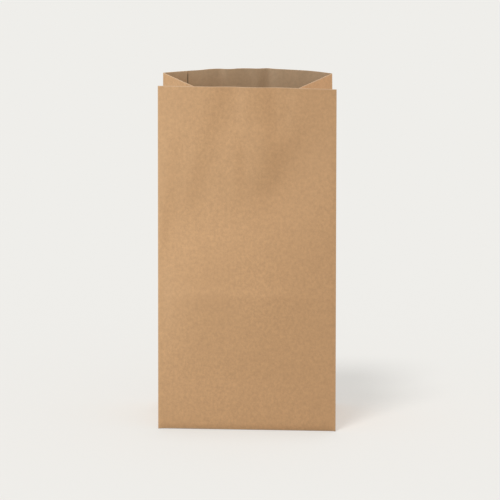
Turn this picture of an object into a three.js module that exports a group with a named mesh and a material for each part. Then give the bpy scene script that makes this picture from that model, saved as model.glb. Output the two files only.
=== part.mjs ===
// A brown paper lunch bag: one sheet of kraft paper, folded and glued into a flat-bottomed bag
// with a folded-in gusset on each side. Millimetres, +Z up, origin at the middle of the base on
// the surface it stands on, front panel towards -Y, mouth at the top.
//
// Every panel is made of straight lines that run from the base to the mouth, and each line keeps
// the full length of the sheet, so the panels bend as paper does and never stretch.

import * as THREE from "three";
import { mergeVertices } from "three/addons/utils/BufferGeometryUtils.js";

// Sizes of the folded sheet
const WIDTH = 127;
const DEPTH = 84.7;
const SHEET_LENGTH = 247.65; // from the bottom fold to the cut edge of the mouth
const SHEET = 0.3; // wall thickness
const GUSSET_HALF = DEPTH / 2; // from an upright fold to the gusset's middle crease

// The mouth in plan: the two ends of each panel, and how far the panel bows out of line
const FRONT = { left: [-66.7, -31.9], right: [59.9, -35.8], bow: 1.5 };
const BACK = { left: [-64.3, 21.2], right: [57.1, 26.7], bow: 15.8 };

// Each gusset: which side it is on, how far its triangle at the base leans in, and how far the
// crease's cut end drops below the upright folds
const LEFT_GUSSET = { side: -1, lean: THREE.MathUtils.degToRad(38), drop: 8.4 };
const RIGHT_GUSSET = { side: 1, lean: THREE.MathUtils.degToRad(29), drop: 5.4 };

// The glued lap on the inside of the back panel, measured from the left upright fold
const LAP_START = 3;
const LAP_END = 18;
const LAP_STEP = 0.4; // width over which the sheet's thickness comes and goes

// How finely the panels are divided
const ROWS = 8;
const PLAIN_COLUMNS = 14;

const lerp = (a, b, t) => a + (b - a) * t;

// Where each column of a panel stands, as shares of its width: the lap's two edges, then even steps.
function columnShares() {
  const lapEdges = [LAP_START - LAP_STEP, LAP_START, LAP_END - LAP_STEP, LAP_END];
  const shares = [0, ...lapEdges.map((mm) => mm / WIDTH)];
  const last = LAP_END / WIDTH;
  for (let i = 1; i <= PLAIN_COLUMNS; i++) {
    shares.push(lerp(last, 1, i / PLAIN_COLUMNS));
  }
  return shares;
}

const SHARES = columnShares();

// The upper end of a line of the sheet: its place in plan sets how much height its length leaves.
function mouthPoint(foot, [x, y]) {
  const run = Math.hypot(x - foot.x, y - foot.y);
  return new THREE.Vector3(x, y, Math.sqrt(SHEET_LENGTH ** 2 - run ** 2));
}

// The two ends of one line of the front or back panel, from its share of the width.
function panelLine(mouth, footY, share) {
  const foot = new THREE.Vector3(lerp(-WIDTH / 2, WIDTH / 2, share), footY, 0);
  const bow = mouth.bow * 4 * share * (1 - share);
  const x = lerp(mouth.left[0], mouth.right[0], share);
  const y = lerp(mouth.left[1], mouth.right[1], share) + bow;
  return [foot, mouthPoint(foot, [x, y])];
}

// The two ends of a gusset's middle crease: the apex of its base triangle, and its cut end.
function creaseLine(gusset) {
  const share = gusset.side < 0 ? 0 : 1;
  const front = panelLine(FRONT, -DEPTH / 2, share)[1];
  const back = panelLine(BACK, DEPTH / 2, share)[1];
  const apex = new THREE.Vector3(
    gusset.side * (WIDTH / 2 - GUSSET_HALF * Math.sin(gusset.lean)),
    0,
    GUSSET_HALF * Math.cos(gusset.lean),
  );
  const halfGap = front.distanceTo(back) / 2;
  const inwards = Math.sqrt(GUSSET_HALF ** 2 - halfGap ** 2 - gusset.drop ** 2);
  const cutEnd = front.clone().add(back).multiplyScalar(0.5);
  cutEnd.x -= gusset.side * inwards;
  cutEnd.z -= gusset.drop;
  return [apex, cutEnd];
}

// A strip of sheet between neighbouring lines, as triangles. The first line is on the left of
// the second when the strip is seen from outside.
function stripBetween(lines, rows) {
  const points = [];
  const at = ([foot, head], row) => foot.clone().lerp(head, row / rows);
  for (let i = 0; i + 1 < lines.length; i++) {
    for (let row = 0; row < rows; row++) {
      const lowLeft = at(lines[i], row);
      const lowRight = at(lines[i + 1], row);
      const highLeft = at(lines[i], row + 1);
      const highRight = at(lines[i + 1], row + 1);
      points.push(lowLeft, lowRight, highRight, lowLeft, highRight, highLeft);
    }
  }
  return points;
}

// The whole outer face of the folded sheet, open at the mouth, as one list of triangle corners.
function outerFace() {
  const front = SHARES.map((share) => panelLine(FRONT, -DEPTH / 2, share));
  const back = SHARES.map((share) => panelLine(BACK, DEPTH / 2, share));
  const leftCrease = creaseLine(LEFT_GUSSET);
  const rightCrease = creaseLine(RIGHT_GUSSET);
  const last = SHARES.length - 1;
  const base = front.map((line, i) => [back[i][0], line[0]]);
  return [
    ...stripBetween(front, ROWS),
    ...stripBetween([...back].reverse(), ROWS),
    ...stripBetween([front[last], rightCrease, back[last]], ROWS),
    ...stripBetween([back[0], leftCrease, front[0]], ROWS),
    ...[front[last][0], back[last][0], rightCrease[0]],
    ...[back[0][0], front[0][0], leftCrease[0]],
    ...stripBetween(base, 1),
  ];
}

// The shared corners of a list of triangles: each corner's point, and the triangles by number.
function weld(points) {
  const loose = new THREE.BufferGeometry().setFromPoints(points);
  const welded = mergeVertices(loose, 1e-3);
  const position = welded.getAttribute("position");
  const corners = [];
  for (let i = 0; i < position.count; i++) {
    corners.push(new THREE.Vector3().fromBufferAttribute(position, i));
  }
  return { corners, index: Array.from(welded.index.array) };
}

// The paper is twice as thick where the sheet's two edges are glued over each other.
function thicknessAt(point) {
  const onBack = point.y > lerp(DEPTH / 2, BACK.left[1], point.z / SHEET_LENGTH) - SHEET;
  const left = lerp(-WIDTH / 2, BACK.left[0], point.z / SHEET_LENGTH);
  const chordShare = lerp(1, (BACK.right[0] - BACK.left[0]) / WIDTH, point.z / SHEET_LENGTH);
  const across = (point.x - left) / chordShare;
  const inLap = across > LAP_START - LAP_STEP / 2 && across < LAP_END - LAP_STEP / 2;
  return onBack && inLap && point.z > 0 ? 2 * SHEET : SHEET;
}

// The step that moves a corner inwards by the sheet's thickness from every face that meets there.
// Each face asks for step . normal = -thickness, and the least-squares answer suits them all.
function inwardStep(normals, thickness) {
  const m = new THREE.Matrix3().set(1e-6, 0, 0, 0, 1e-6, 0, 0, 0, 1e-6);
  const sum = new THREE.Vector3();
  const e = m.elements;
  for (const n of normals) {
    const p = [n.x, n.y, n.z];
    for (let i = 0; i < 3; i++) {
      for (let j = 0; j < 3; j++) e[3 * i + j] += p[i] * p[j];
    }
    sum.add(n);
  }
  return sum.multiplyScalar(-thickness).applyMatrix3(m.invert());
}

// One closed body: the outer face, the same face moved in by the thickness, and the cut edge
// of the mouth between them.
function thicken({ corners, index }) {
  const normals = corners.map(() => []);
  const edges = new Map();
  for (let t = 0; t < index.length; t += 3) {
    const ids = [index[t], index[t + 1], index[t + 2]];
    const normal = new THREE.Vector3();
    new THREE.Triangle(...ids.map((id) => corners[id])).getNormal(normal);
    ids.forEach((id, k) => {
      normals[id].push(normal);
      edges.set(id + ">" + ids[(k + 1) % 3], [id, ids[(k + 1) % 3]]);
    });
  }
  const inner = corners.map((corner, id) =>
    corner.clone().add(inwardStep(normals[id], thicknessAt(corner))),
  );
  const shift = corners.length;
  const all = [...index];
  for (let t = 0; t < index.length; t += 3) {
    all.push(index[t] + shift, index[t + 2] + shift, index[t + 1] + shift);
  }
  for (const [a, b] of edges.values()) {
    const rim = !edges.has(b + ">" + a);
    if (rim) all.push(b, a, a + shift, b, a + shift, b + shift);
  }
  const body = new THREE.BufferGeometry().setFromPoints([...corners, ...inner]);
  body.setIndex(all);
  body.computeVertexNormals();
  return body;
}

const kraftPaper = new THREE.MeshStandardMaterial({
  color: 0xc49b70,
  roughness: 0.85,
  metalness: 0,
  flatShading: true,
});

const paperBag = new THREE.Mesh(thicken(weld(outerFace())), kraftPaper);
paperBag.name = "paper_bag";

const bag = new THREE.Group();
bag.add(paperBag);

export default bag;
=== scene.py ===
import math

import bmesh
import bpy
from bpy.props import FloatProperty, FloatVectorProperty, PointerProperty
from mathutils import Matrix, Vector, noise


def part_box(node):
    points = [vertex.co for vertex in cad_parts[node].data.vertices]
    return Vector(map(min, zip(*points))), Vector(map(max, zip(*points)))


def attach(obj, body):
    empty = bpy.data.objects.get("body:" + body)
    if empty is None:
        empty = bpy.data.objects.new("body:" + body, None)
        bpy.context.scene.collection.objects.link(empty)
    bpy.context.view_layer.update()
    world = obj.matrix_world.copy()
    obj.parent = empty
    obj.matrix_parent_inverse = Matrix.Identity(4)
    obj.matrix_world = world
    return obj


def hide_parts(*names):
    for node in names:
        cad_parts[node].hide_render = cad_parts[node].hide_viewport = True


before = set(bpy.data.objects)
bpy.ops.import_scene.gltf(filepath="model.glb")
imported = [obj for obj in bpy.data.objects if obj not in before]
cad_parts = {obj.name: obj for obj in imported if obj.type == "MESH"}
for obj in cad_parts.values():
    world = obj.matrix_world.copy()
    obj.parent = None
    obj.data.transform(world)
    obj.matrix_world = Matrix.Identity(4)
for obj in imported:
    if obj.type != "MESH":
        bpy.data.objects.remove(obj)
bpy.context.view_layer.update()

bl_info = {
    "name": "Paper Lunch Bag",
    "version": (1, 0, 0),
    "blender": (4, 5, 0),
    "location": "3D View > Sidebar > Paper Bag",
    "description": "Creases and folds a sheet of kraft paper into an open lunch bag",
    "category": "Add Mesh",
}

BAG_NODE = "paper_bag"
BAG_PIECE = "folded_kraft_bag"
BOX_LOW, BOX_HIGH = (Vector(corner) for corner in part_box(BAG_NODE))
MM = 0.001
WELD = 1e-6  # places of the flat sheet closer than this, in metres, are one
ON_LINE = 5e-6  # how near, in metres, an edge must be to a line of the flat sheet to lie on it


# ---------------------------------------------------------------- settings


def length_property(name, description, default):
    return FloatProperty(
        name=name, description=description, default=default, unit="LENGTH", precision=5
    )


def place_property(name, description, default):
    """A place in plan or in space, by how many values its default has."""
    return FloatVectorProperty(
        name=name, description=description, default=default, size=len(default), unit="LENGTH"
    )


def colour_property(name, description, default):
    return FloatVectorProperty(
        name=name, description=description, default=default, size=3, subtype="COLOR", min=0, max=1
    )


def angle_property(name, description, degrees):
    return FloatProperty(
        name=name, description=description, default=math.radians(degrees), subtype="ANGLE"
    )


def strength_property(name, description, default):
    return FloatProperty(name=name, description=description, default=default, min=0)


def share_property(name, description, default):
    return FloatProperty(name=name, description=description, default=default, min=0, max=1)


class SheetSettings(bpy.types.PropertyGroup):
    width: length_property("Width", "Width of the front and back panels", 2 * BOX_HIGH.x)
    depth: length_property("Depth", "Depth of the base, and a gusset's flat width", -2 * BOX_LOW.y)
    length: length_property("Length", "Bottom fold to the cut edge of the mouth", BOX_HIGH.z)
    thickness: length_property("Thickness", "Thickness of the paper", 0.22 * MM)
    fold_radius: length_property("Fold radius", "Half the width over which a fold turns", 0.3 * MM)
    lap_start: length_property("Lap start", "Left back fold to the seam's outer edge", 3 * MM)
    lap_end: length_property("Lap end", "Left back fold to the seam's inner edge", 18 * MM)
    flap_overlap: length_property("Flap overlap", "How far base flaps pass the middle", 9 * MM)
    cell: length_property("Cell", "Largest spacing of the sheet's columns and rows", 2.15 * MM)


class MouthSettings(bpy.types.PropertyGroup):
    front_left: place_property(
        "Front left", "Left end of the front panel's cut edge", (BOX_LOW.x, -31.9 * MM)
    )
    front_right: place_property(
        "Front right", "Right end of the front panel's cut edge", (60.2 * MM, -35.8 * MM)
    )
    back_left: place_property(
        "Back left", "Left end of the back panel's cut edge", (-64.3 * MM, 21.2 * MM)
    )
    back_right: place_property(
        "Back right", "Right end of the back panel's cut edge", (57.1 * MM, 26.7 * MM)
    )
    front_bow: length_property("Front bow", "How far the front's edge bows inwards", 1.5 * MM)
    back_bow: length_property("Back bow", "How far the back's edge bows outwards", 14.0 * MM)
    back_skew: share_property("Back skew", "How much more the back's bow leans right", 0.5)
    left_lean: angle_property("Left lean", "Lean of the left base triangle", 38)
    right_lean: angle_property("Right lean", "Lean of the right base triangle", 29)
    left_drop: length_property("Left drop", "Left crease's end below the folds", 8.4 * MM)
    right_drop: length_property("Right drop", "Right crease's end below the folds", 6.6 * MM)
    buckle: strength_property("Buckle", "Strength of the soft buckles", 1.0)


class PaperSettings(bpy.types.PropertyGroup):
    outside: colour_property("Outside", "Kraft colour of the outer face", (0.548, 0.307, 0.141))
    inside: colour_property("Inside", "Kraft colour of the inner face", (0.50, 0.34, 0.20))
    # this pale colour is also laid along cut edges and creases as a painted highlight
    cut_edge: colour_property("Cut edge", "Pale fibre along a cut edge", (0.68, 0.49, 0.32))
    roughness: share_property("Roughness", "Roughness of the paper", 0.62)
    bump: share_property("Bump", "Height of the fibre relief", 0.25)


class StageSettings(bpy.types.PropertyGroup):
    floor_colour: colour_property("Floor", "Colour of the pale floor", (0.45, 0.445, 0.43))
    glow_colour: colour_property("Glow colour", "Colour of the lit floor", (1.0, 0.991, 0.955))
    floor_glow: strength_property("Floor glow", "Brightness of the lit floor", 0.358)
    floor_size: length_property("Floor size", "Side of the square floor", 12.0)
    floor_gap: length_property("Floor gap", "Floor below the standing face", 0.2 * MM)
    key_strength: strength_property("Key", "Strength of the key light", 1.36)
    key_softness: angle_property("Key softness", "Apparent size of the key light", 14)
    key_height: angle_property("Key height", "Height of the key light above the floor", 61.5)
    key_turn: angle_property("Key turn", "Turn of the key light to the left", 27)
    overhead_strength: strength_property("Overhead", "Strength of the overhead light", 0.45)
    overhead_softness: angle_property("Overhead softness", "Apparent size of that light", 12)
    overhead_height: angle_property("Overhead height", "Its height above the floor behind", 84)
    fill_strength: strength_property("Fill", "Strength of the fill on the bag", 2.0)
    fill_softness: angle_property("Fill softness", "Apparent size of the fill", 50)
    fill_height: angle_property("Fill height", "Height of the fill above the floor", 30)
    fill_turn: angle_property("Fill turn", "Turn of the fill to the right", 105)
    rake_strength: strength_property("Raking light", "Strength of the raking light", 0.75)
    rake_softness: angle_property("Raking softness", "Apparent size of the raking light", 16)
    rake_height: angle_property("Raking height", "Height of that light above the floor", 25)
    rake_turn: angle_property("Raking turn", "Turn of the raking light to the left", 82)
    side_power: strength_property("Side light", "Power of the soft side light, watts", 0.24)
    side_place: place_property("Side place", "Middle of the side light", (-0.18, -0.16, 0.17))
    side_aim: place_property("Side aim", "What the side light points at", (-0.04, -0.04, 0.13))
    side_size: place_property("Side size", "Width and height of the side light", (0.08, 0.30))
    side_colour: colour_property(
        "Side colour", "Colour of the side and raking lights", (0.68, 0.84, 1.0)
    )
    sky_strength: strength_property("Sky", "Strength of the soft light all round", 0.60)
    camera_distance: length_property("Camera distance", "From the bag's middle", 4.4)
    camera_pitch: angle_property("Camera pitch", "How far the camera looks down", 12.5)
    camera_turn: angle_property("Camera turn", "Turn of the camera to the right", 0.57)
    camera_roll: angle_property("Camera roll", "Roll of the camera", 0.8)
    camera_aim: place_property(
        "Camera aim", "Right of the bag's middle, and above it", (0.05 * MM, -1.52 * MM)
    )
    lens: strength_property("Lens", "Focal length in millimetres", 441.6)


# ---------------------------------------------------------------- the fold


def clamp(value):
    return min(max(value, 0.0), 1.0)


def smooth(low, high, value):
    """0 at low and before it, 1 at high and past it, with an even curve between."""
    share = clamp((value - low) / (high - low))
    return share * share * (3 - 2 * share)


def hump(distance, width):
    """1 at no distance, falling off evenly to nearly 0 at twice the width."""
    return math.exp(-((distance / width) ** 2))


# Soft buckles, each a slope that runs down the panel: its place across the panel (as a share of
# the width) at its upper and lower end, the heights of its lower and upper end, its half width,
# and how far the paper steps outwards from its left to its right, in mm.
FRONT_BUCKLES = (
    (0.38, 0.19, 165, 255, 8.0, -2.50),
    (0.45, 0.46, 178, 212, 3.0, -0.90),
    (0.59, 0.64, 200, 260, 6.0, -2.10),
    (0.75, 0.58, 168, 214, 11.0, -3.60),
    (0.10, 0.045, 140, 212, 6.0, -1.60),
    (0.475, 0.46, 225, 260, 4.0, 1.08),
    (0.77, 0.73, 218, 260, 2.5, 0.54),
    (0.68, 0.68, 222, 260, 1.5, 0.25),
    (0.90, 0.86, 150, 225, 9.0, 0.90),
    (0.50, 0.36, 120, 158, 12.0, 0.60),
)
BACK_BUCKLES = (
    (0.25, 0.24, 190, 260, 3.5, 2.60),
    (0.35, 0.36, 188, 260, 3.0, -3.10),
    (0.425, 0.43, 195, 260, 2.5, 2.00),
    (0.53, 0.54, 190, 260, 4.0, -1.60),
    (0.585, 0.57, 180, 260, 3.0, 3.00),
    (0.645, 0.63, 180, 260, 3.2, -2.60),
    (0.825, 0.83, 185, 260, 4.0, 0.90),
)
BUCKLE_START = (-30, 16)  # where a buckle comes in, in mm above its lower end
BUCKLE_STOP = (-14, 14)  # where it goes, in mm above its upper end

# Waviness of a panel: spacing across and up the sheet, height, in mm, and a number that sets one
# kind of wave apart from the other
PANEL_WAVES = ((45, 65, 0.16, 0), (16, 30, 0.05, 7))

# The faint ridge that the folded base leaves across the front
PRESS_PLACE = 97 * MM
PRESS_HEIGHT = 1.9 * MM
PRESS_UNEVEN = 0.4 * MM
PRESS_WANDER = 2 * MM
PRESS_RUN_UP = 60 * MM  # the straight slope below it
PRESS_DROP = 9 * MM  # the quick half of its fall above
PRESS_FADE = 70 * MM  # the slow half

ROLL_DEPTH = 0.55 * MM  # how far the bottom fold is rolled under
ROLL_HEIGHT = 1.5 * MM
BACK_RIDGE = 0.25 * MM  # the level crease across the back, where the base folds flat
BACK_RIDGE_WIDTH = 1.6 * MM
GUSSET_SWELL = 0.9 * MM
GUSSET_WAVE = 0.35 * MM
WAVE_ACROSS, WAVE_UP = 20 * MM, 50 * MM  # spacing of the gussets' waves

# Layers of paper, in sheet thicknesses
LAYER = 1.15  # spacing of two layers that lie on each other
END_FLAP_LAYERS = 3.4  # layers between the standing face and the end flaps
TURNED_LAYERS = 2  # layers between a long flap and its turned-in corner
FLAP_PINCH = 2.4  # how much narrower a flap gets to fit inside the bag

# Distances over which a flap climbs onto the layers below it
FLAP_RAMP = 4 * MM  # from the bottom fold
BACK_FLAP_RAMP = (10 * MM, 30 * MM)  # from the bottom fold, over the front flap
SEAM_FLAP_RAMP = (0, 2 * MM)
END_FLAP_SEAM = (17 * MM, 24 * MM)  # from the left back fold, off the seam
CORNER_SEAM = (16 * MM, 20 * MM)

SEAM_STEP = (0.5 * MM, 2.5 * MM)  # from the left back fold, where the seam's inner layer steps in
LAP_LIFT = 0.6 * MM  # how far the seam's inner edge stands off the panel at the mouth
LAP_LIFT_WIDTH = 3 * MM
SEAM_SHADOW_GAP = 0.35 * MM  # middle of the painted shadow line, beyond the seam's inner edge
SEAM_SHADOW_FADE = 4 * MM  # below the mouth, over which the painted seam shadow comes in

# Half widths of the marks that the paper's finish follows: creases and cut edges, pale partly
# from wear and partly as painted highlights, and a painted shadow line beside the seam
CREASE_WIDTH = 0.7 * MM
CUT_WIDTH = 0.55 * MM
SEAM_SHADOW_WIDTH = 0.4 * MM
FAINTER = 0.35 * MM  # added to the distance from a fold that was pressed only once

# Lines of the flat sheet: beside a cut edge, across the painted shadow line beside the seam, and,
# in shares of the fold radius, across a fold. A turned point is the mean of places that stand in
# steps to its sides.
EDGE_LINES = (0, 0.35 * MM, 0.9 * MM)
SEAM_SHADOW_LINES = (-0.8 * MM, -0.4 * MM, 0, 0.4 * MM, 0.8 * MM)
FOLD_LINES = (-1, -0.5, 0, 0.5, 1)
TURN_STEPS = (-0.75, -0.25, 0.25, 0.75)


class FoldedSheet:
    """Where each point of the flat sheet lies once the bag is folded and opened.

    The sheet is measured in metres: `along` from the inner cut edge of the seam round the bag,
    `up` from the bottom fold. Each upright line of the sheet stays straight and keeps its length.
    """

    def __init__(self, sheet, mouth):
        self.sheet = sheet
        self.mouth = mouth
        self.half = sheet.depth / 2
        self.back_left = sheet.lap_end
        self.front_left = self.back_left + sheet.depth
        self.front_right = self.front_left + sheet.width
        self.back_right = self.front_right + sheet.depth
        self.end = self.back_right + sheet.width - sheet.lap_start
        self.left_crease = self.back_left + self.half
        self.right_crease = self.front_right + self.half
        # a painted shadow line, just beyond the seam's inner cut edge
        self.seam_shadow_line = self.back_right + sheet.width - sheet.lap_end - SEAM_SHADOW_GAP
        self.layer = LAYER * sheet.thickness
        self.flap_length = self.half + sheet.flap_overlap
        self.folds = (
            self.back_left,
            self.left_crease,
            self.front_left,
            self.front_right,
            self.right_crease,
            self.back_right,
        )
        self.left = self.gusset(-1, mouth.left_lean, mouth.left_drop)
        self.right = self.gusset(1, mouth.right_lean, mouth.right_drop)

    # lines of the front and back panels

    def line(self, face, share):
        """The two ends of the front (-1) or back (1) panel's line at a share of its width."""
        mouth = self.mouth
        foot = Vector(((share - 0.5) * self.sheet.width, face * self.half, 0))
        arch = 4 * share * (1 - share)
        if face < 0:
            start, stop, bow = mouth.front_left, mouth.front_right, mouth.front_bow * arch
        else:
            start, stop = mouth.back_left, mouth.back_right
            bow = mouth.back_bow * arch * (1 + mouth.back_skew * (share - 0.5))
        x = start[0] + (stop[0] - start[0]) * share
        y = start[1] + (stop[1] - start[1]) * share + bow
        run = math.hypot(x - foot.x, y - foot.y)
        return foot, Vector((x, y, math.sqrt(self.sheet.length**2 - run**2)))

    def gusset(self, side, lean, drop):
        """The corners of a gusset: its two upright folds, its base apex and its crease's end."""
        share = 0 if side < 0 else 1
        front, back = self.line(-1, share), self.line(1, share)
        out = side * (self.sheet.width / 2 - self.half * math.sin(lean))
        apex = Vector((out, 0, self.half * math.cos(lean)))
        gap = (front[1] - back[1]).length / 2
        inwards = math.sqrt(self.half**2 - gap**2 - drop**2)
        end = (front[1] + back[1]) / 2 - Vector((side * inwards, 0, drop))
        return {"side": side, -1: front, 1: back, "apex": apex, "end": end}

    # soft unevenness of the paper

    def unevenness(self, share, up, buckles, seed):
        """How far a panel stands out of its plain shape, in metres."""
        width = self.sheet.width
        near_fold = min(smooth(0, 0.06, share), smooth(0, 0.06, 1 - share))
        rise = 0.0
        for head, foot, low, high, half_width, step in buckles:
            reach = smooth(low + BUCKLE_START[0], low + BUCKLE_START[1], up / MM)
            reach *= 1 - smooth(high + BUCKLE_STOP[0], high + BUCKLE_STOP[1], up / MM)
            centre = foot + (head - foot) * clamp((up / MM - low) / (high - low))
            slope = 0.5 + 0.5 * math.tanh((share - centre) * width / (half_width * MM))
            rise += step * MM * reach * (slope - share)
        for across, upwards, height, kind in PANEL_WAVES:
            place = Vector((share * width / (across * MM), up / (upwards * MM), seed + kind))
            rise += height * MM * noise.noise(place) * smooth(0, 30 * MM, up)
        return rise * near_fold * self.mouth.buckle

    def panel(self, face, share, up):
        """A point of the front (-1) or back (1) panel, with its buckles and ridges."""
        foot, head = self.line(face, share)
        point = foot.lerp(head, up / self.sheet.length)
        buckles = FRONT_BUCKLES if face < 0 else BACK_BUCKLES
        out = self.unevenness(share, up, buckles, 3.0 * face) - self.roll_under(share, up)
        if face < 0:
            out += self.press_mark(share, up)
        else:
            out += BACK_RIDGE * hump(up - self.half, BACK_RIDGE_WIDTH)
        point.y += face * out
        return point

    def roll_under(self, share, up):
        """How far the bottom fold is rolled in, which leaves its corners sharp."""
        corners = smooth(0, 0.04, share) * smooth(0, 0.04, 1 - share)
        return ROLL_DEPTH * hump(up, ROLL_HEIGHT) * corners

    def press_mark(self, share, up):
        """A faint, uneven ridge across the front, where the folded base was pressed against it."""
        rise = up - PRESS_PLACE - PRESS_WANDER * noise.noise(Vector((share * 5, 0, 2)))
        height = PRESS_HEIGHT + PRESS_UNEVEN * noise.noise(Vector((share * 4, 3, 5)))
        left = smooth(-0.08, 0.24, share) * smooth(0, 0.08, share)
        right = (1 - 0.7 * smooth(0.58, 0.96, share)) * smooth(0, 0.03, 1 - share)
        below = clamp(rise / PRESS_RUN_UP + 1)
        above = max(rise, 0)
        fall = 0.5 * math.exp(-above / PRESS_DROP) + 0.5 * (1 - smooth(0, PRESS_FADE, above))
        return height * left * right * below * fall

    # gussets

    def gusset_point(self, gusset, face, across, up):
        """A point on half a gusset, `across` in from its front (-1) or back (1) upright fold."""
        foot, head = gusset[face]
        share = across / self.half
        if up < across:
            slope = (gusset["apex"] - Vector((foot.x, 0, 0))) / self.half
            return foot + Vector((0, -face * across, 0)) + slope * up
        low = foot.lerp(gusset["apex"], share)
        high = head.lerp(gusset["end"], share)
        height = (up - across) / (self.sheet.length - across)
        point = low.lerp(high, height)
        outwards = Vector((gusset["side"] * 0.6, -face * 0.8, 0))
        swell = GUSSET_SWELL * math.sin(math.pi * share) * math.sin(math.pi * min(height, 0.98))
        wave = self.gusset_wave(across, up, 4 * face + gusset["side"])
        near_fold = smooth(0, 0.2, share) * smooth(0, 0.2, 1 - share) * smooth(0, 0.08, height)
        return point + outwards * (swell + GUSSET_WAVE * wave * near_fold)

    def gusset_wave(self, across, up, seed):
        return noise.noise(Vector((across / WAVE_ACROSS, up / WAVE_UP, seed)))

    # flaps under the base

    def flap(self, along, down):
        """A point of the sheet below the bottom fold, `down` past it, folded under the base.

        Each long flap turns back on itself along two slanting folds, and its turned corners lie
        between it and the end flaps, which are innermost.
        """
        ramp = smooth(0, FLAP_RAMP, down)
        in_left = self.back_left < along < self.front_left
        in_right = self.front_right < along < self.back_right
        if in_left or in_right:
            side = -1 if in_left else 1
            across = self.left_crease - along if in_left else along - self.right_crease
            squeeze = 1 - FLAP_PINCH * self.sheet.thickness * ramp / self.half
            over_seam = 1 - smooth(*END_FLAP_SEAM, self.half - across) if in_left else 0
            height = (END_FLAP_LAYERS + 2 * over_seam) * self.layer * ramp
            return Vector((side * (self.sheet.width / 2 - down), across * squeeze, height))
        return self.long_flap(along, down, ramp)

    def long_flap(self, along, down, ramp):
        """A point of the front or back flap, or of the seam's share of the back one."""
        width, half, step = self.sheet.width, self.half, self.layer
        front = self.front_left <= along <= self.front_right
        lap = along <= self.back_left
        face = -1 if front else 1
        layer = 0 if front else step * smooth(*BACK_FLAP_RAMP, down)
        if front:
            from_left = along - self.front_left
        elif lap:
            from_left = self.back_left - along
            layer += step * smooth(*SEAM_FLAP_RAMP, down)
        else:
            from_left = width - (along - self.back_right)
        near = min(from_left, width - from_left)
        side = -1 if from_left < width / 2 else 1
        if near >= down:
            out = half - down - self.roll_under(from_left / width, down)
            return Vector((from_left - width / 2, face * out, layer))
        squeeze = 1 - FLAP_PINCH * self.sheet.thickness * ramp * (1 - near / down) / half
        turned = TURNED_LAYERS * step
        if not front and not lap and side < 0:
            turned += 2 * step * (1 - smooth(*CORNER_SEAM, near))
        inwards = face * (half - near) * squeeze
        return Vector((side * (width / 2 - down), inwards, layer + turned * ramp))

    # the whole sheet

    def sharp_point(self, along, up):
        """The folded place of a point of the sheet, if every fold turned in no width."""
        along = min(max(along, 0.0), self.end)
        up = min(up, self.sheet.length)
        if up < 0:
            return self.flap(along, -up)
        if along < self.back_left:
            share = (self.back_left - along) / self.sheet.width
            point = self.panel(1, share, up)
            point.y -= self.layer * smooth(*SEAM_STEP, self.back_left - along)
            point.y -= self.lap_lift(along, up)
            return point
        if along < self.front_left:
            across = along - self.back_left
            if across < self.half:
                return self.gusset_point(self.left, 1, across, up)
            return self.gusset_point(self.left, -1, self.sheet.depth - across, up)
        if along < self.front_right:
            return self.panel(-1, (along - self.front_left) / self.sheet.width, up)
        if along < self.back_right:
            across = along - self.front_right
            if across < self.half:
                return self.gusset_point(self.right, -1, across, up)
            return self.gusset_point(self.right, 1, self.sheet.depth - across, up)
        return self.panel(1, 1 - (along - self.back_right) / self.sheet.width, up)

    def lap_lift(self, along, up):
        """The seam's inner edge stands a little off the panel, as the gluing stops short of it."""
        near_mouth = smooth(self.sheet.length * 0.6, self.sheet.length, up)
        return LAP_LIFT * (1 - smooth(0, LAP_LIFT_WIDTH, along)) * near_mouth

    def slant(self, along, up):
        """How far a point is from the slanting folds that run from the base's corners."""
        nearest = 1.0
        reach = self.half if up > 0 else self.flap_length
        for corner, way in self.slants()[:4] if up > 0 else self.slants()[4:]:
            across = (along - corner) * way
            if -self.sheet.fold_radius < across < reach + self.sheet.fold_radius:
                nearest = min(nearest, abs(abs(up) - across) / math.sqrt(2))
        return nearest

    def slants(self):
        """The corners that slanting folds leave, and which way each runs round the bag."""
        return (
            (self.back_left, 1),
            (self.front_left, -1),
            (self.front_right, 1),
            (self.back_right, -1),
            (self.back_left, -1),
            (self.front_left, 1),
            (self.front_right, -1),
            (self.back_right, 1),
        )

    def point(self, along, up):
        """The folded place of a point of the sheet, with every fold turned over its radius."""
        radius = self.sheet.fold_radius
        turning = min(abs(along - fold) for fold in self.folds) < radius
        turning = turning or (up < self.half + radius and self.slant(along, up) < radius)
        rolling = abs(up) < radius
        sideways = [radius * step for step in TURN_STEPS] if turning else [0.0]
        upwards = [radius * step for step in TURN_STEPS] if rolling else [0.0]
        total = Vector()
        for dx in sideways:
            for dy in upwards:
                total += self.sharp_point(along + dx, up + dy)
        return total / (len(sideways) * len(upwards))

    # marks for the paper's finish

    def crease_mark(self, along, up):
        """1 on a fold or an old crease, falling to 0 about a millimetre away."""
        nearest = min(abs(up), self.slant(along, up), *(abs(along - fold) for fold in self.folds))
        if not self.front_left < along < self.front_right:
            nearest = min(nearest, abs(up - self.half) + FAINTER)
        return hump(nearest, CREASE_WIDTH)

    def cut_mark(self, along, up):
        """1 on a cut edge of the sheet, falling to 0 within a millimetre."""
        nearest = min(self.sheet.length - up, self.end - along, up + self.flap_length)
        return hump(max(nearest, 0.0), CUT_WIDTH)

    def seam_shadow_mark(self, along, up):
        """1 on a painted shadow line beside the seam's inner cut edge, where its lifted edge casts
        shade.
        """
        below_mouth = self.sheet.length - up
        return hump(along - self.seam_shadow_line, SEAM_SHADOW_WIDTH) * smooth(0, SEAM_SHADOW_FADE, below_mouth)


# ---------------------------------------------------------------- modelling


def begin_piece(name):
    """Leaves nothing selected, so that the next operator acts on the new piece alone."""
    if bpy.context.object and bpy.context.object.mode != "OBJECT":
        bpy.ops.object.mode_set(mode="OBJECT")
    bpy.ops.object.select_all(action="DESELECT")
    old = bpy.data.objects.get(name)
    if old:
        bpy.data.objects.remove(old)


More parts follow.
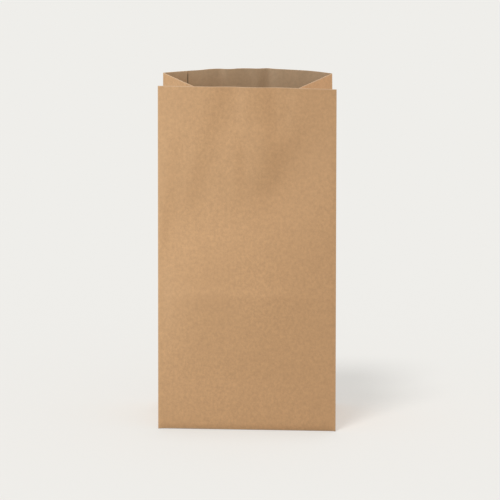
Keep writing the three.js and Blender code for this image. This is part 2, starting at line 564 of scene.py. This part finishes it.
def choose(kind, test):
    """In edit mode, selects only the edges (1) or faces (2) that pass the test."""
    data = bpy.context.object.data
    mesh = bmesh.from_edit_mesh(data)
    for part in (*mesh.verts, *mesh.edges, *mesh.faces):
        part.select = False
    bpy.context.tool_settings.mesh_select_mode = (False, kind == 1, kind == 2)
    chosen = mesh.edges if kind == 1 else mesh.faces
    for part in chosen:
        if test(part):
            part.select_set(True)
    bmesh.update_edit_mesh(data)


def lies_on(axis, place):
    """A test for the edges that lie on one line of the flat sheet."""
    return lambda edge: all(abs(vertex.co[axis] - place) < ON_LINE for vertex in edge.verts)


def runs_between(axis, low, high):
    """A test for the edges that run from one line of the flat sheet to the next."""

    def test(edge):
        ends = sorted(vertex.co[axis] for vertex in edge.verts)
        return abs(ends[0] - low) < ON_LINE and abs(ends[1] - high) < ON_LINE

    return test


def in_square(corner, way, reach, rise):
    """A test for the faces in the square of sheet beside a corner, above or below the fold."""

    def test(face):
        centre = face.calc_center_median()
        across = (centre.x - corner) * way
        return -MM < across < reach and -MM < centre.y * rise < reach

    return test


def grow_strips(axis, marks):
    """Extrudes the sheet's last edge from mark to mark."""
    for low, high in zip(marks[1:], marks[2:]):
        choose(1, lies_on(axis, low))
        move = (high - low, 0, 0) if axis == 0 else (0, high - low, 0)
        bpy.ops.mesh.extrude_region_move(TRANSFORM_OT_translate={"value": move})


def divide_strips(axis, marks, cell):
    """Cuts each strip between two marks into even ones no wider than a cell."""
    for low, high in zip(marks, marks[1:]):
        cuts = math.ceil((high - low - WELD) / cell) - 1
        if cuts > 0:
            choose(1, runs_between(axis, low, high))
            bpy.ops.mesh.subdivide(number_cuts=cuts)


def score_slant(corner, way, rise, reach, radius):
    """Lays edges in the flat sheet along a slanting fold, and a radius to each side of it."""
    for shift in (-radius, 0, radius):
        choose(2, in_square(corner, way, reach, rise))
        bpy.ops.mesh.bisect(
            plane_co=(corner + way * shift, 0, 0), plane_no=(way, -rise, 0), threshold=WELD
        )


def marks_round(places, folds, radius):
    """The places of the sheet's lines, with more close round each fold so that it can turn."""
    marks = set(places)
    for fold in folds:
        marks.update(fold + radius * line for line in FOLD_LINES)
    low, high = min(places), max(places)
    return sorted(mark for mark in marks if low <= mark <= high)


def draw_flat_sheet(name, folded):
    """The sheet before it is folded, flat in the XY plane, with an edge along every fold."""
    sheet = folded.sheet
    radius = sheet.fold_radius
    across = [*EDGE_LINES, *folded.folds, *(folded.end - line for line in EDGE_LINES)]
    across += [folded.seam_shadow_line + line for line in SEAM_SHADOW_LINES]
    upwards = [line - folded.flap_length for line in EDGE_LINES]
    upwards += [folded.half, *(sheet.length - line for line in EDGE_LINES)]
    columns = marks_round(across, folded.folds, radius)
    rows = marks_round(upwards, (0,), radius)
    begin_piece(name)
    bpy.ops.mesh.primitive_plane_add(size=1)
    piece = bpy.context.object
    piece.name = piece.data.name = name
    bpy.ops.object.mode_set(mode="EDIT")
    width, height = columns[1] - columns[0], rows[1] - rows[0]
    bpy.ops.transform.resize(value=(width, height, 1))
    bpy.ops.transform.translate(value=(columns[0] + width / 2, rows[0] + height / 2, 0))
    grow_strips(0, columns)
    grow_strips(1, rows)
    divide_strips(0, columns, sheet.cell)
    divide_strips(1, rows, sheet.cell)
    for corner, way in folded.slants()[:4]:
        score_slant(corner, way, 1, folded.half, radius)
    for corner, way in folded.slants()[4:]:
        score_slant(corner, way, -1, folded.flap_length, radius)
    bpy.ops.mesh.select_all(action="SELECT")
    bpy.ops.mesh.remove_doubles(threshold=WELD)
    bpy.ops.object.mode_set(mode="OBJECT")
    return piece


def mark_and_fold(piece, folded):
    """Keeps the flat places as a UV map, marks folds, cut edges and the painted seam shadow, and
    folds the sheet.
    """
    mesh = piece.data
    flat = [vertex.co.copy() for vertex in mesh.vertices]
    for layer in list(mesh.uv_layers):
        mesh.uv_layers.remove(layer)
    sheet_map = mesh.uv_layers.new(name="FlatSheet")
    for loop in mesh.loops:
        sheet_map.data[loop.index].uv = flat[loop.vertex_index].xy
    marks = {"crease": folded.crease_mark, "cut_edge": folded.cut_mark, "glue": folded.seam_shadow_mark}
    for name, mark in marks.items():
        values = mesh.attributes.new(name, "FLOAT", "POINT").data
        for value, place in zip(values, flat):
            value.value = mark(place.x, place.y)
    for vertex, place in zip(mesh.vertices, flat):
        vertex.co = folded.point(place.x, place.y)


def face_outwards(piece):
    """Turns the sheet over if the front panel's faces look into the bag."""
    front = min(piece.data.polygons, key=lambda face: face.center.y)
    if front.normal.y > 0:
        piece.data.flip_normals()


def give_thickness(piece, thickness):
    """Thickens the sheet inwards; its inner face and its cut edges take their own materials."""
    wall = piece.modifiers.new("Paper", "SOLIDIFY")
    wall.thickness = thickness
    wall.offset = -1
    wall.use_rim = True
    wall.material_offset = 1
    wall.material_offset_rim = 2
    bpy.ops.object.modifier_apply(modifier=wall.name)


# ---------------------------------------------------------------- paper


# Of each face of the paper: how mottled its pulp is, how pale its cut edges (pale fibre and a
# painted highlight) and how dark its painted shadow beside the seam
OUTSIDE_FINISH = (0.17, 0.5, 0.0)
INSIDE_FINISH = (0.11, 0.15, 0.85)
ROUGHNESS_SPREAD = 0.06
RELIEF_DEPTH = 0.25 * MM


def add_node(tree, kind, inputs=None, **fields):
    """Adds a node; an input may be a value or another node's output."""
    made = tree.nodes.new(kind)
    for field, value in fields.items():
        setattr(made, field, value)
    for name, value in (inputs or {}).items():
        if isinstance(value, bpy.types.NodeSocket):
            tree.links.new(value, made.inputs[name])
        else:
            made.inputs[name].default_value = value
    return made


def calc(tree, operation, first, second):
    return add_node(tree, "ShaderNodeMath", {0: first, 1: second}, operation=operation).outputs[0]


def plus(tree, first, second):
    return calc(tree, "ADD", first, second)


def times(tree, first, second):
    return calc(tree, "MULTIPLY", first, second)


def remap(tree, value, low, high, new_low=0.0, new_high=1.0):
    inputs = {"Value": value, "From Min": low, "From Max": high}
    inputs.update({"To Min": new_low, "To Max": new_high})
    return add_node(tree, "ShaderNodeMapRange", inputs, interpolation_type="SMOOTHSTEP").outputs[0]


def noise_at(tree, vector, scale, detail, roughness):
    inputs = {"Vector": vector, "Scale": scale, "Detail": detail, "Roughness": roughness}
    return add_node(tree, "ShaderNodeTexNoise", inputs).outputs["Fac"]


def stretched_noise(tree, vector, stretch, scale, detail, roughness):
    """Noise drawn out along the flat sheet: the smaller the stretch's number, the longer."""
    place = add_node(tree, "ShaderNodeMapping", {"Vector": vector, "Scale": stretch}).outputs[0]
    return noise_at(tree, place, scale, detail, roughness)


def blend_colour(tree, factor, first, second, blend_type="MIX"):
    made = add_node(tree, "ShaderNodeMix", data_type="RGBA", blend_type=blend_type)
    for index, value in ((0, factor), (6, first), (7, second)):
        if isinstance(value, bpy.types.NodeSocket):
            tree.links.new(value, made.inputs[index])
        elif index:
            made.inputs[index].default_value = (*value, 1) if len(value) == 3 else value
        else:
            made.inputs[index].default_value = value
    return made.outputs[2]


def new_group(name, inputs, outputs):
    group = bpy.data.node_groups.new(name, "ShaderNodeTree")
    for label, kind in inputs:
        group.interface.new_socket(label, in_out="INPUT", socket_type=kind)
    for label, kind in outputs:
        group.interface.new_socket(label, in_out="OUTPUT", socket_type=kind)
    return group, group.nodes.new("NodeGroupInput"), group.nodes.new("NodeGroupOutput")


def kraft_fibres():
    """Cloudy pulp, fibres along the sheet and stray flecks, from flat sheet places in metres."""
    existing = bpy.data.node_groups.get("Kraft fibres")
    if existing:
        return existing
    labels = ("Pulp", "Grain", "Pale fleck", "Dark fleck", "Relief")
    values = [(label, "NodeSocketFloat") for label in labels]
    group, source, result = new_group("Kraft fibres", [("Sheet", "NodeSocketVector")], values)
    sheet = source.outputs["Sheet"]
    cloud = stretched_noise(group, sheet, (1.0, 0.7, 1.0), 200.0, 3.0, 0.6)
    clot = stretched_noise(group, sheet, (1.0, 0.8, 1.0), 480.0, 4.0, 0.78)
    strand = stretched_noise(group, sheet, (1.0, 0.22, 1.0), 2600.0, 2.0, 0.6)
    crossing = stretched_noise(group, sheet, (0.3, 1.0, 1.0), 3100.0, 2.0, 0.6)
    pulp = plus(group, times(group, cloud, 0.25), times(group, clot, 0.75))
    grain = plus(group, times(group, strand, 0.6), times(group, crossing, 0.4))
    relief = plus(group, times(group, grain, 0.6), times(group, clot, 0.8))
    outputs = {"Pulp": pulp, "Grain": grain, "Relief": relief}
    for label, scale, rarity in (("Pale fleck", 120.0, 0.965), ("Dark fleck", 210.0, 0.93)):
        inputs = {"Vector": sheet, "Scale": scale, "Randomness": 1.0}
        cells = add_node(group, "ShaderNodeTexVoronoi", inputs)
        inputs = {"Color": cells.outputs["Color"]}
        pick = add_node(group, "ShaderNodeSeparateColor", inputs).outputs[0]
        near = remap(group, cells.outputs["Distance"], 0.07, 0.01)
        outputs[label] = times(group, near, calc(group, "GREATER_THAN", pick, rarity))
    for label, value in outputs.items():
        group.links.new(value, result.inputs[label])
    return group


def handling_and_painted_light():
    """Creases and cut edges, pale from wear and a painted highlight, a painted seam shadow, and
    broad unevenness from handling.
    """
    existing = bpy.data.node_groups.get("Paper handling")
    if existing:
        return existing
    values = [(label, "NodeSocketFloat") for label in ("Crease", "Cut edge", "Broad", "Glue")]
    group, source, result = new_group("Paper handling", [("Sheet", "NodeSocketVector")], values)
    sheet = source.outputs["Sheet"]
    crease, cut, glue = (
        add_node(group, "ShaderNodeAttribute", attribute_name=name).outputs["Fac"]
        for name in ("crease", "cut_edge", "glue")
    )
    ragged = noise_at(group, sheet, 900.0, 3.0, 0.7)
    ragged_offset = calc(group, "SUBTRACT", ragged, 0.5)
    # pale along creases and cut edges: partly rubbed or frayed fibre, partly a painted highlight
    crease_wear_and_highlight = remap(group, plus(group, crease, ragged_offset), 0.25, 0.95)
    edge_fibre_and_highlight = remap(group, plus(group, cut, times(group, ragged, 0.5)), 0.55, 1.25)
    broad = noise_at(group, sheet, 16.0, 2.0, 0.5)
    for label, value in (("Crease", crease_wear_and_highlight), ("Cut edge", edge_fibre_and_highlight), ("Broad", broad), ("Glue", glue)):
        group.links.new(value, result.inputs[label])
    return group


def group_node(tree, group, sheet):
    made = tree.nodes.new("ShaderNodeGroup")
    made.node_tree = group
    tree.links.new(sheet, made.inputs["Sheet"])
    return made


def tinted(colour, factor):
    return tuple(min(channel * factor, 1.0) for channel in colour)


def begin_paper(name):
    """A new material with the fibres of the flat sheet laid in it."""
    material = bpy.data.materials.new(name)
    material.use_nodes = True
    tree = material.node_tree
    sheet = add_node(tree, "ShaderNodeUVMap", uv_map="FlatSheet").outputs["UV"]
    fibres = group_node(tree, kraft_fibres(), sheet).outputs
    return material, tree, sheet, fibres


def kraft_material(name, colour, paper, finish):
    """Uncoated kraft: uneven pulp, fibres and flecks, pale along cut edges and rubbed creases,
    partly as painted highlights.
    """
    mottle, edge_share, seam_shadow_share = finish
    material, tree, sheet, fibres = begin_paper(name)
    shader = tree.nodes["Principled BSDF"]
    # its outputs: broad unevenness, creases and cut edges paled by wear and a painted highlight,
    # and a painted shadow beside the seam
    handling = group_node(tree, handling_and_painted_light(), sheet).outputs
    light, dark = tinted(colour, 1 + mottle), tinted(colour, 1 - mottle)
    base = blend_colour(tree, remap(tree, fibres["Pulp"], 0.28, 0.72), dark, light)
    layers = (
        (remap(tree, fibres["Grain"], 0.3, 0.7), 0.35, tinted(colour, 1 + 0.5 * mottle)),
        (remap(tree, handling["Broad"], 0.3, 0.7), 0.35, tinted(colour, 0.95)),
        (fibres["Pale fleck"], 0.7, paper.cut_edge),
        (fibres["Dark fleck"], 0.5, tinted(colour, 0.45)),
        # paler along creases and cut edges: partly wear, partly a painted highlight
        (handling["Crease"], 0.16, tinted(paper.cut_edge, 0.92)),
        (handling["Cut edge"], edge_share, paper.cut_edge),
        # a painted shadow line beside the seam's inner edge
        (handling["Glue"], seam_shadow_share, tinted(colour, 0.25)),
    )
    for mask, share, shade in layers:
        base = blend_colour(tree, times(tree, mask, share), base, shade)
    tree.links.new(base, shader.inputs["Base Color"])
    dull, bright = paper.roughness + ROUGHNESS_SPREAD, paper.roughness - ROUGHNESS_SPREAD
    gloss = remap(tree, fibres["Pulp"], 0.3, 0.7, dull, bright)
    tree.links.new(gloss, shader.inputs["Roughness"])
    shader.inputs["Specular IOR Level"].default_value = 0.5
    inputs = {"Height": fibres["Relief"], "Strength": paper.bump, "Distance": RELIEF_DEPTH}
    relief = add_node(tree, "ShaderNodeBump", inputs)
    tree.links.new(relief.outputs["Normal"], shader.inputs["Normal"])
    return material


def cut_edge_material(name, paper):
    """The torn fibres across the sheet's thickness."""
    material, tree, _, fibres = begin_paper(name)
    shader = tree.nodes["Principled BSDF"]
    shade = remap(tree, fibres["Pulp"], 0.3, 0.7)
    base = blend_colour(tree, shade, tinted(paper.cut_edge, 0.9), tinted(paper.cut_edge, 1.05))
    tree.links.new(base, shader.inputs["Base Color"])
    gloss = remap(tree, fibres["Grain"], 0.3, 0.7, 0.95, 0.85)
    tree.links.new(gloss, shader.inputs["Roughness"])
    return material


# ---------------------------------------------------------------- operators


SHARPEST_SMOOTH = math.radians(50)  # edges that turn further than this stay sharp
SENSOR_WIDTH = 36  # mm
FARTHEST_SEEN = 50  # metres


class FoldKraftBag(bpy.types.Operator):
    """Scores a flat sheet, folds it into the open bag and gives it its paper finish"""

    bl_idname = "paper_bag.fold"
    bl_label = "Fold Bag"

    def execute(self, context):
        scene = context.scene
        folded = FoldedSheet(scene.bag_sheet, scene.bag_mouth)
        piece = draw_flat_sheet(BAG_PIECE, folded)
        mark_and_fold(piece, folded)
        face_outwards(piece)
        paper = scene.bag_paper
        piece.data.materials.clear()
        for material in (
            kraft_material("Kraft outside", paper.outside, paper, OUTSIDE_FINISH),
            kraft_material("Kraft inside", paper.inside, paper, INSIDE_FINISH),
            cut_edge_material("Kraft cut edge", paper),
        ):
            piece.data.materials.append(material)
        give_thickness(piece, scene.bag_sheet.thickness)
        bpy.ops.object.shade_smooth_by_angle(angle=SHARPEST_SMOOTH)
        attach(piece, "root")
        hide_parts(BAG_NODE)
        return {"FINISHED"}


def look_from(camera, aim, settings):
    """Puts the camera its distance from the aim and turns it to look there."""
    pitch, turn = settings.camera_pitch, settings.camera_turn
    level = Vector((math.sin(turn), -math.cos(turn), 0)) * math.cos(pitch)
    way = level + Vector((0, 0, math.sin(pitch)))
    camera.location = aim + way * settings.camera_distance
    camera.rotation_euler = (math.pi / 2 - pitch, 0, turn)
    camera.rotation_euler.rotate_axis("Z", settings.camera_roll)


def sky(scene, settings):
    """Soft white light from every side."""
    world = bpy.data.worlds.new("Soft studio")
    world.use_nodes = True
    scene.world = world
    background = world.node_tree.nodes["Background"].inputs
    background["Color"].default_value = (1.0, 1.0, 1.0, 1)
    background["Strength"].default_value = settings.sky_strength


def pale_floor(settings):
    """A matt floor that glows for the camera alone, so that it lights nothing."""
    begin_piece("Floor")
    place = (0, 0, -settings.floor_gap)
    bpy.ops.mesh.primitive_plane_add(size=settings.floor_size, location=place)
    floor = bpy.context.object
    floor.name = floor.data.name = "Floor"
    material = bpy.data.materials.new("Pale floor")
    material.use_nodes = True
    tree = material.node_tree
    shader = tree.nodes["Principled BSDF"]
    shader.inputs["Base Color"].default_value = (*settings.floor_colour, 1)
    shader.inputs["Roughness"].default_value = 1.0
    shader.inputs["Specular IOR Level"].default_value = 0.0
    inputs = {"Color": (*settings.glow_colour, 1), "Strength": settings.floor_glow}
    glow = add_node(tree, "ShaderNodeEmission", inputs)
    lit = add_node(tree, "ShaderNodeAddShader", {0: shader.outputs[0], 1: glow.outputs[0]})
    seen = add_node(tree, "ShaderNodeLightPath").outputs["Is Camera Ray"]
    inputs = {0: seen, 1: shader.outputs[0], 2: lit.outputs[0]}
    surface = add_node(tree, "ShaderNodeMixShader", inputs)
    tree.links.new(surface.outputs[0], tree.nodes["Material Output"].inputs["Surface"])
    floor.data.materials.append(material)


def sun_light(settings, name, kind, turn):
    """A distant light with its own settings; its turn is from the front towards the left."""
    strength, softness, height = (
        getattr(settings, f"{kind}_{field}") for field in ("strength", "softness", "height")
    )
    bpy.ops.object.light_add(type="SUN")
    sun = bpy.context.object
    sun.name = name
    sun.data.energy = strength
    sun.data.angle = softness
    sun.rotation_euler = (math.pi / 2 - height, 0, -turn)
    return sun


def side_light(settings):
    """A soft light close to the bag's left front."""
    bpy.ops.object.light_add(type="AREA", location=settings.side_place)
    side = bpy.context.object
    side.name = "Side light"
    side.data.shape = "RECTANGLE"
    side.data.size, side.data.size_y = settings.side_size
    side.data.energy = settings.side_power
    side.data.color = settings.side_colour
    aim = Vector(settings.side_aim) - side.location
    side.rotation_euler = aim.to_track_quat("-Z", "Y").to_euler()
    return side


def studio_lights(settings, piece):
    """Key and overhead lights over everything; fill, raking and side lights on the bag alone."""
    sun_light(settings, "Key light", "key", settings.key_turn)
    fill = sun_light(settings, "Fill", "fill", -settings.fill_turn)
    sun_light(settings, "Overhead light", "overhead", math.pi)
    lit = bpy.data.collections.new("Bag alone")
    lit.objects.link(piece)
    rake = sun_light(settings, "Raking light", "rake", settings.rake_turn)
    rake.data.color = settings.side_colour
    for light in (fill, rake, side_light(settings)):
        light.light_linking.receiver_collection = lit


def bag_camera(scene, settings):
    bpy.ops.object.camera_add()
    camera = bpy.context.object
    camera.name = "Camera"
    camera.data.sensor_width = SENSOR_WIDTH
    camera.data.lens = settings.lens
    camera.data.clip_end = FARTHEST_SEEN
    camera.data.dof.use_dof = False
    right, above = settings.camera_aim
    aim = Vector((right, 0, BOX_HIGH.z / 2 + above))
    look_from(camera, aim, settings)
    scene.camera = camera


class SetStage(bpy.types.Operator):
    """Puts the bag on a pale floor under soft studio light, in front of the camera"""

    bl_idname = "paper_bag.stage"
    bl_label = "Set Stage"

    def execute(self, context):
        scene = context.scene
        settings = scene.bag_stage
        piece = bpy.data.objects.get(BAG_PIECE)
        if piece is None:
            raise RuntimeError("fold the bag before setting the stage")
        sky(scene, settings)
        pale_floor(settings)
        studio_lights(settings, piece)
        bag_camera(scene, settings)
        scene.view_settings.view_transform = "Standard"
        return {"FINISHED"}


class PaperBagPanel(bpy.types.Panel):
    """Sizes, colours and steps of the paper bag"""

    bl_idname = "VIEW3D_PT_paper_bag"
    bl_label = "Paper Bag"
    bl_space_type = "VIEW_3D"
    bl_region_type = "UI"
    bl_category = "Paper Bag"

    def draw(self, context):
        for group, _ in SETTINGS:
            box = self.layout.box()
            settings = getattr(context.scene, group)
            for name in settings.__annotations__:
                box.prop(settings, name)
        for step in STEPS:
            self.layout.operator(step.bl_idname)


STEPS = (FoldKraftBag, SetStage)
SETTINGS = (
    ("bag_sheet", SheetSettings),
    ("bag_mouth", MouthSettings),
    ("bag_paper", PaperSettings),
    ("bag_stage", StageSettings),
)
CLASSES = (SheetSettings, MouthSettings, PaperSettings, StageSettings, *STEPS, PaperBagPanel)


def register():
    for cls in CLASSES:
        bpy.utils.register_class(cls)
    for name, settings in SETTINGS:
        setattr(bpy.types.Scene, name, PointerProperty(type=settings))


def unregister():
    for name, _ in SETTINGS:
        delattr(bpy.types.Scene, name)
    for cls in reversed(CLASSES):
        bpy.utils.unregister_class(cls)


def main():
    register()
    bpy.ops.paper_bag.fold()
    bpy.ops.paper_bag.stage()


if __name__ == "__main__":
    main()
